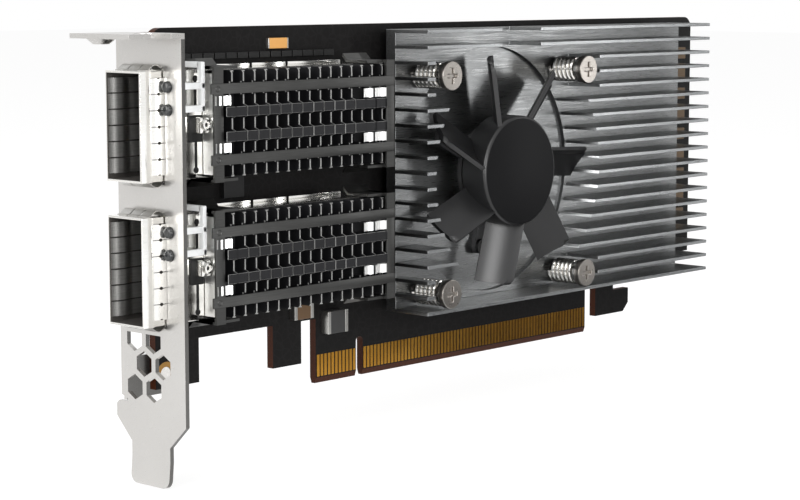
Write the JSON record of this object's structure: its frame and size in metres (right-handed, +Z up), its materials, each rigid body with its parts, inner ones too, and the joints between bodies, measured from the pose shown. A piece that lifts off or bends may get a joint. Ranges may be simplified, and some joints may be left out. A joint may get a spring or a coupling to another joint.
{
  "type": "network interface card",
  "caption": "Low-profile network card with twin module ports on a vented bracket, a finned heatsink with an open fan, riding heatsinks over the port cages and a gold edge connector.",
  "frame": {"origin": "middle of the key notch of the edge connector, on the component face of the board, at the bottom edge", "axes": "+X along the card away from the bracket, +Y from the component face toward the solder side, +Z up away from the edge connector"},
  "size_m": [0.1802, 0.0184, 0.0803],
  "materials": {
    "bare_aluminium": "milled",
    "black_anodised": "black anodised",
    "black_plastic": "matt",
    "black_screw": "blackened",
    "board": "satin solder mask",
    "bracket_steel": "satin plated steel",
    "cage_steel": "bright stainless",
    "chip_lid": "matt nickel",
    "circuit_green": "satin",
    "clear_plastic": "clear",
    "clip_steel": "spring steel",
    "component_black": "satin",
    "component_brown": "satin",
    "copper": "enamelled",
    "core_steel": "laminated",
    "fan_base_grey": "matt",
    "fan_black": "matt",
    "ferrite_grey": "satin",
    "gold": "polished gold plating",
    "insert_brass": "bright",
    "lamp_white": "glossy",
    "magnet_grey": "matt",
    "pad_grey": "matt",
    "screw_steel": "bright",
    "tantalum_yellow": "satin",
    "tin": "bright"
  },
  "bodies": {
    "card": {"bracket": "bracket_steel", "bracket_inserts": "insert_brass", "bracket_screws": "screw_steel", "cage_fingers_lower": "cage_steel", "cage_fingers_upper": "cage_steel", "captive_screws": "screw_steel", "chip_choke": "ferrite_grey", "circuit_board": "board", "crystal": "tin", "edge_contacts": "gold", "fan_base": "fan_base_grey", "fan_bearing": "insert_brass", "fan_circuit": "circuit_green", "fan_coils": "copper", "fan_screws": "black_screw", "fan_stator_core": "core_steel", "flash_chip": "component_black", "heatsink_clip_lower": "clip_steel", "heatsink_clip_upper": "clip_steel", "light_pipes": "clear_plastic", "main_heatsink": "bare_aluminium", "metal_end_caps": "tin", "network_chip": "chip_lid", "port_cage_lower": "cage_steel", "port_cage_upper": "cage_steel", "port_connector_lower": "black_plastic", "port_connector_upper": "black_plastic", "port_contacts_lower": "gold", "port_contacts_upper": "gold", "rear_capacitors": "component_brown", "screw_retainers": "screw_steel", "screw_springs": "screw_steel", "small_capacitors": "component_black", "standoff_nuts": "insert_brass", "status_lamps": "lamp_white", "tantalum_capacitors": "tantalum_yellow", "thermal_pad": "pad_grey"},
    "fan": {"fan_rotor": "fan_black", "fan_magnet_ring": "magnet_grey", "fan_shaft": "screw_steel", "fan_shaft_clip": "black_plastic"},
    "heatsink_upper": {"cage_heatsink_upper": "black_anodised"},
    "heatsink_lower": {"cage_heatsink_lower": "black_anodised"}
  },
  "joints": [
    {"name": "fan_spin", "type": "hinge", "parent": "card", "child": "fan", "pos_m": [0.0334, -0.009, 0.039], "axis": [0, 1, 0], "continuous": true},
    {"name": "heatsink_upper_lift", "type": "slide", "parent": "card", "child": "heatsink_upper", "axis": [0, -1, 0], "range_m": [0, 0.0004], "stiffness_N_per_m": 2000},
    {"name": "heatsink_lower_lift", "type": "slide", "parent": "card", "child": "heatsink_lower", "axis": [0, -1, 0], "range_m": [0, 0.0004], "stiffness_N_per_m": 2000}
  ]
}
